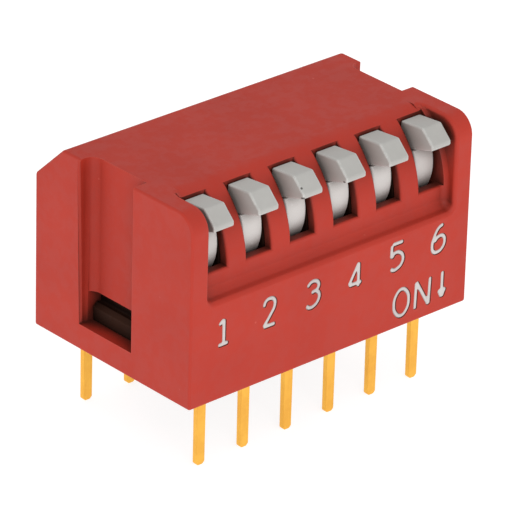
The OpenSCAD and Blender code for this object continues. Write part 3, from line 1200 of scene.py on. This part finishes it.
@dataclass
class Levers:
    """White levers, each with a hooked head, a curved front, trunnions and a contact arm.

    Sizes are in millimetres and angles in degrees. The head's outline is given about the pivot.
    """

    places: tuple[float, ...]
    pivot: tuple[float, float] = (-1.85, 6.8)
    half: float = 0.575
    head: tuple[tuple[float, float], ...] = (
        (-1.21, 0.684), (-3.27, 1.30), (-3.27, 1.53), (-2.60, 2.18), (-1.21, 2.05))
    drum: float = 2.25
    drum_top: float = 24.0
    drum_foot: float = -38.0
    hub: float = 0.85
    trunnion: float = 0.3
    trunnion_length: float = 0.33
    shoulder: float = 1.42
    shoulder_front: float = -1.3
    arm_lean: float = 25.0
    arm_width: float = 0.8
    arm_length: float = 3.55
    slit_half: float = 0.06
    slit_depth: float = 0.5
    slit_length: float = 0.45
    edge: float = 0.085
    edge_turn: float = 25.0
    edge_back: float = 1.1
    edge_drop: float = 1.42

    def _at(self, *points: tuple[float, float]) -> list[tuple[float, float]]:
        """Moves points given about the pivot to their places."""
        return [(self.pivot[0] + y, self.pivot[1] + z) for y, z in points]

    def _sector(self) -> bpy.types.Object:
        """Models the curved front as a sector of a drum.

        Returns:
            The sector.
        """
        obj = rod("drum", self.pivot, self.drum, self.half)
        for angle, side in ((self.drum_top, 1), (self.drum_foot, -1)):
            y, z = math.cos(math.radians(angle)), math.sin(math.radians(angle))
            trim(obj, (0, *self.pivot), (0, side * z, side * y))
        return obj

    def _arm(self) -> bpy.types.Object:
        """Models the leaning arm with the slit for the spring's tab.

        Returns:
            The arm.
        """
        lean = math.radians(self.arm_lean)
        down = Vector((-math.sin(lean), -math.cos(lean)))
        across = Vector((math.cos(lean), -math.sin(lean)))
        wide, long = across * self.arm_width / 2, down * self.arm_length
        corners = [tuple(-wide), tuple(wide), tuple(wide + long), tuple(long - wide)]
        obj = prism("arm", self._at(*corners), self.half)
        slit, deep = across * self.slit_half, down * (self.arm_length - self.slit_depth)
        corners = [tuple(deep - slit), tuple(deep + slit), tuple(deep + slit + down),
                   tuple(deep - slit + down)]
        combine(obj, prism("slit", self._at(*corners), self.slit_length), Join.CUT)
        return obj

    def build(self, plain: bpy.types.Material, speckled: dict[int, bpy.types.Material]) -> None:
        """Models one lever, copies it along the row and installs the copies.

        Args:
            plain: Material of most levers.
            speckled: Materials of the levers that carry specks, by number.
        """
        head = prism("lever", self._at(*self.head), self.half)
        combine(head, self._sector(), Join.FUSE)
        combine(head, rod("hub", self.pivot, self.hub, self.half), Join.FUSE)
        shoulder = self._at((self.shoulder_front, 0.0), (self.head[0][0], self.shoulder),
                            (0.0, self.shoulder), (0.0, 0.0))
        combine(head, prism("shoulder", shoulder, self.half), Join.FUSE)
        combine(head, self._arm(), Join.FUSE)
        combine(head, rod("trunnion", self.pivot, self.trunnion,
                          self.half + self.trunnion_length, SMALL_SIDES), Join.FUSE)
        y, z = self.pivot
        bevel(head, lambda e: turn(e) > self.edge_turn and middle(e).y < y - self.edge_back
              and middle(e).z > z - self.edge_drop, self.edge)
        complete(head)
        for number, place in enumerate(self.places, 1):
            obj = twin(head, f"lever_moulding_{number}", place)
            install(obj, f"rocker_{number}", Slot.WHITE, speckled.get(number, plain),
                    f"lever_{number}")
        bpy.data.objects.remove(head)


@dataclass
class Contacts:
    """Sprung moving contacts, which stay as the CAD models them."""

    count: int

    def dress(self, material: bpy.types.Material) -> None:
        """Gives each CAD contact its metal.

        Args:
            material: The metal.
        """
        for number in range(1, self.count + 1):
            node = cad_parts[f"moving_contact_{number}"]
            node.data.materials.clear()
            node.data.materials.append(material)
            log.info("moving_contact_%d: dressed", number)


# ------------------------------------------------------------------ studio


@dataclass
class Studio:
    """Pale floor, even soft light and the camera.

    Angles are in degrees, floor_z, the aim, the distance, the lens and the sensor in millimetres,
    and floor_size, the lamp's place and its size in metres.
    """

    floor_z: float
    floor_size: float = 4.0
    floor_light: Colour = (0.36, 0.36, 0.36, 1)
    floor_dark: Colour = (0.33, 0.33, 0.33, 1)
    floor_glow: float = 0.85
    azimuth: float = -42.5088
    elevation: float = 26.8322
    roll: float = 1.6243
    aim_right: float = 0.3868
    aim_up: float = 2.3315
    distance: float = 211.0275
    lens: float = 328.3
    sensor: float = 36.0
    sky: float = 0.75
    lamp_place: tuple[float, float, float] = (-0.15, -0.29, 0.16)
    lamp_size: float = 0.2
    lamp_energy: float = 0.25

    def camera(self) -> None:
        """Places the camera by azimuth, elevation, roll, aim and distance."""
        a, e, r = (math.radians(v) for v in (self.azimuth, self.elevation, self.roll))
        back = Vector((math.sin(a) * math.cos(e), -math.cos(a) * math.cos(e), math.sin(e)))
        level = Vector((0, 0, 1)).cross(back).normalized()
        rise = back.cross(level)
        right = level * math.cos(r) + rise * math.sin(r)
        up = rise * math.cos(r) - level * math.sin(r)
        centre = right * self.aim_right + up * self.aim_up + back * self.distance
        bpy.ops.object.camera_add()
        camera = bpy.context.active_object
        camera.name = "camera"
        camera.matrix_world = Matrix.Translation(centre * MM) @ Matrix(
            (right, up, back)).transposed().to_4x4()
        camera.data.lens, camera.data.sensor_width = self.lens, self.sensor
        camera.data.clip_start, camera.data.clip_end = 0.01, 10.0
        bpy.context.scene.camera = camera

    def floor(self) -> None:
        """Adds a wide pale floor with a faint paper texture."""
        bpy.ops.object.select_all(action="DESELECT")
        bpy.ops.mesh.primitive_plane_add(size=self.floor_size,
                                         location=(0, 0, self.floor_z * MM))
        obj = bpy.context.active_object
        obj.name = "floor"
        material = bpy.data.materials.new("pale_floor")
        material.use_nodes = True
        bench = Bench(material.node_tree)
        place = bench.add("ShaderNodeTexCoord").outputs["Object"]
        paper = bench.span(bench.noise(place, size=6.0), 0.3, 0.7, 0.0, 1.0)
        colour = bench.blend(paper, self.floor_dark, self.floor_light)
        shader = bench.add("ShaderNodeBsdfPrincipled", Base_Color=colour, Roughness=0.9)
        shader.inputs["Specular IOR Level"].default_value = 0.1
        shader.inputs["Emission Color"].default_value = (1, 1, 1, 1)
        shader.inputs["Emission Strength"].default_value = self.floor_glow
        bench.add("ShaderNodeOutputMaterial", Surface=shader.outputs[0])
        obj.data.materials.append(material)

    def light(self) -> None:
        """Sets an even white sky and one broad soft lamp from the front."""
        world = bpy.data.worlds.new("soft_sky")
        bpy.context.scene.world = world
        world.use_nodes = True
        bench = Bench(world.node_tree)
        sky = bench.add("ShaderNodeBackground", Color=(1, 1, 1, 1), Strength=self.sky)
        bench.add("ShaderNodeOutputWorld", Surface=sky.outputs[0])
        bpy.ops.object.light_add(type="AREA", location=self.lamp_place)
        lamp = bpy.context.active_object
        lamp.name = "front_lamp"
        lamp.data.size, lamp.data.energy = self.lamp_size, self.lamp_energy
        lamp.rotation_euler = Vector(self.lamp_place).to_track_quat("Z", "Y").to_euler()
        bpy.context.scene.view_settings.view_transform = "Standard"

    def build(self) -> None:
        """Builds the floor, the lights and the camera."""
        self.floor()
        self.light()
        self.camera()


# ------------------------------------------------------------------ all together


def main() -> None:
    """Builds every sub-assembly in order."""
    logging.basicConfig(level=logging.INFO, format="%(name)s %(message)s")
    count = sum(name.startswith("lever_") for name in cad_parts)
    boxes = [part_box(f"lever_{number}") for number in range(1, count + 1)]
    places = tuple(round((low.x + high.x) / 2 / MM, 4) for low, high in boxes)
    low, high = (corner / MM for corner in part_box("cover"))

    red = RED.material()
    cover = Cover(low, high, places)
    cover.build()
    marks = Marks(face_y=low.y)
    marks.build(cover.obj)
    cover.dress(red)
    marks.dress(INK.material())
    Base().build(BLACK.material())
    Terminals(count).build(GOLD.material())
    Levers(places).build(WHITE.material(), {
        number: finish.material() for number, finish in SPECKLED.items()})
    Contacts(count).dress(SPRING.material())
    Studio(floor_z=CAD_LOW.z / MM).build()


if __name__ == "__main__":
    main()
